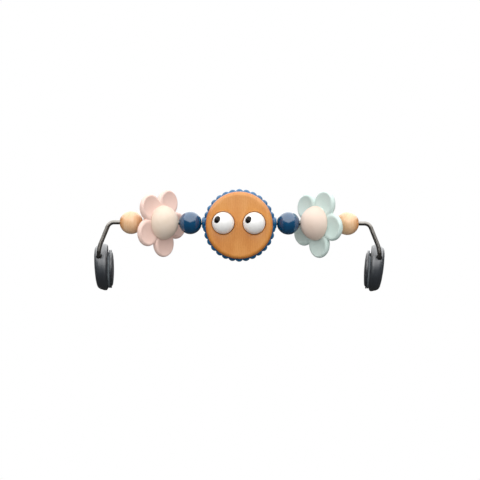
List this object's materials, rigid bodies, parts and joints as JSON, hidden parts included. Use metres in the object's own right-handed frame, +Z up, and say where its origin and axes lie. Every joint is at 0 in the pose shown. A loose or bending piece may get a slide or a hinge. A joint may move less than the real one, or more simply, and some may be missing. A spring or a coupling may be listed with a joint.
{
  "type": "bouncer toy bar",
  "caption": "Toy bar for a baby bouncer: a bent rod with a spinning round face, petal discs, balls and beads, held at its ends by swivelling round clips with sprung jaws.",
  "frame": {"origin": "midway between the centres of the round clips, where the bouncer's sides carry them", "axes": "+X along the bar to the viewer's right, +Z up, and the face looks towards -Y"},
  "size_m": [0.3783, 0.0988, 0.1323],
  "materials": {
    "rod_steel": "satin",
    "lacquered_wood": "gloss",
    "oiled_wood": "satin",
    "blue_paint": "gloss",
    "blue_plastic": "satin",
    "pink_plastic": "satin",
    "mint_plastic": "satin",
    "cream_plastic": "satin",
    "white_plastic": "satin",
    "black_plastic": "gloss",
    "slate_plastic": "satin",
    "grey_rubber": "matte",
    "bright_steel": "satin",
    "nylon": "satin"
  },
  "bodies": {
    "rod": {"rod": "rod_steel", "end_bead_left": "lacquered_wood", "end_bead_right": "lacquered_wood", "retaining_ring_left": "bright_steel", "retaining_ring_right": "bright_steel"},
    "head": {"face_disc": "oiled_wood", "scalloped_core": "blue_plastic", "back_disc": "oiled_wood"},
    "eye_left": {"eye_left": "white_plastic", "pupil_left": "black_plastic", "eye_pin_left": "bright_steel", "eye_washer_left": "bright_steel"},
    "eye_right": {"eye_right": "white_plastic", "pupil_right": "black_plastic", "eye_pin_right": "bright_steel", "eye_washer_right": "bright_steel"},
    "blue_bead_left": {"blue_bead_left": "blue_paint"},
    "blue_bead_right": {"blue_bead_right": "blue_paint"},
    "flower_left": {"petal_disc_left": "pink_plastic", "front_dome_left": "cream_plastic", "back_dome_left": "cream_plastic", "flower_sleeve_left": "nylon"},
    "flower_right": {"petal_disc_right": "mint_plastic", "front_dome_right": "cream_plastic", "back_dome_right": "cream_plastic", "flower_sleeve_right": "nylon"},
    "clip_left": {"clip_body_left": "slate_plastic", "clip_cover_left": "slate_plastic", "stub_bush_left": "nylon", "clip_screw_front_left": "bright_steel", "clip_screw_rear_left": "bright_steel", "body_pad_left": "grey_rubber", "hinge_pin_left": "bright_steel", "jaw_spring_left": "bright_steel"},
    "clip_right": {"clip_body_right": "slate_plastic", "clip_cover_right": "slate_plastic", "stub_bush_right": "nylon", "clip_screw_front_right": "bright_steel", "clip_screw_rear_right": "bright_steel", "body_pad_right": "grey_rubber", "hinge_pin_right": "bright_steel", "jaw_spring_right": "bright_steel"},
    "jaw_left": {"clip_jaw_left": "slate_plastic", "jaw_pad_left": "grey_rubber"},
    "jaw_right": {"clip_jaw_right": "slate_plastic", "jaw_pad_right": "grey_rubber"}
  },
  "joints": [
    {"name": "head_spin", "type": "hinge", "parent": "rod", "child": "head", "pos_m": [0, -0.0317, 0.0581], "axis": [1, 0, 0], "continuous": true},
    {"name": "blue_bead_left_spin", "type": "hinge", "parent": "rod", "child": "blue_bead_left", "pos_m": [-0.0632, -0.0317, 0.0581], "axis": [1, 0, 0], "continuous": true},
    {"name": "blue_bead_right_spin", "type": "hinge", "parent": "rod", "child": "blue_bead_right", "pos_m": [0.0632, -0.0317, 0.0581], "axis": [1, 0, 0], "continuous": true},
    {"name": "flower_left_spin", "type": "hinge", "parent": "rod", "child": "flower_left", "pos_m": [-0.1012, -0.0317, 0.0581], "axis": [1, 0, 0], "continuous": true},
    {"name": "flower_right_spin", "type": "hinge", "parent": "rod", "child": "flower_right", "pos_m": [0.1012, -0.0317, 0.0581], "axis": [1, 0, 0], "continuous": true},
    {"name": "eye_left_turn", "type": "hinge", "parent": "head", "child": "eye_left", "pos_m": [-0.02065, -0.054, 0.0577], "axis": [0, 1, 0], "continuous": true},
    {"name": "eye_right_turn", "type": "hinge", "parent": "head", "child": "eye_right", "pos_m": [0.01905, -0.054, 0.0577], "axis": [0, 1, 0], "continuous": true},
    {"name": "clip_left_swivel", "type": "hinge", "parent": "rod", "child": "clip_left", "pos_m": [-0.18137, 0, 0], "axis": [0, 0.866, -0.5], "range_deg": [-40, 40]},
    {"name": "clip_right_swivel", "type": "hinge", "parent": "rod", "child": "clip_right", "pos_m": [0.18137, 0, 0], "axis": [0, 0.866, -0.5], "range_deg": [-40, 40]},
    {"name": "jaw_left_open", "type": "hinge", "parent": "clip_left", "child": "jaw_left", "pos_m": [-0.17777, 0.00003, 0.01665], "axis": [0.007, -1, 0], "range_deg": [0, 12], "stiffness_Nm_per_rad": 0.25, "springref_deg": -20.05, "deforming": ["jaw_spring_left"]},
    {"name": "jaw_right_open", "type": "hinge", "parent": "clip_right", "child": "jaw_right", "pos_m": [0.17869, 0.00013, 0.01682], "axis": [0.0384, 0.9993, -0.0013], "range_deg": [0, 12], "stiffness_Nm_per_rad": 0.25, "springref_deg": -20.05, "deforming": ["jaw_spring_right"]}
  ]
}
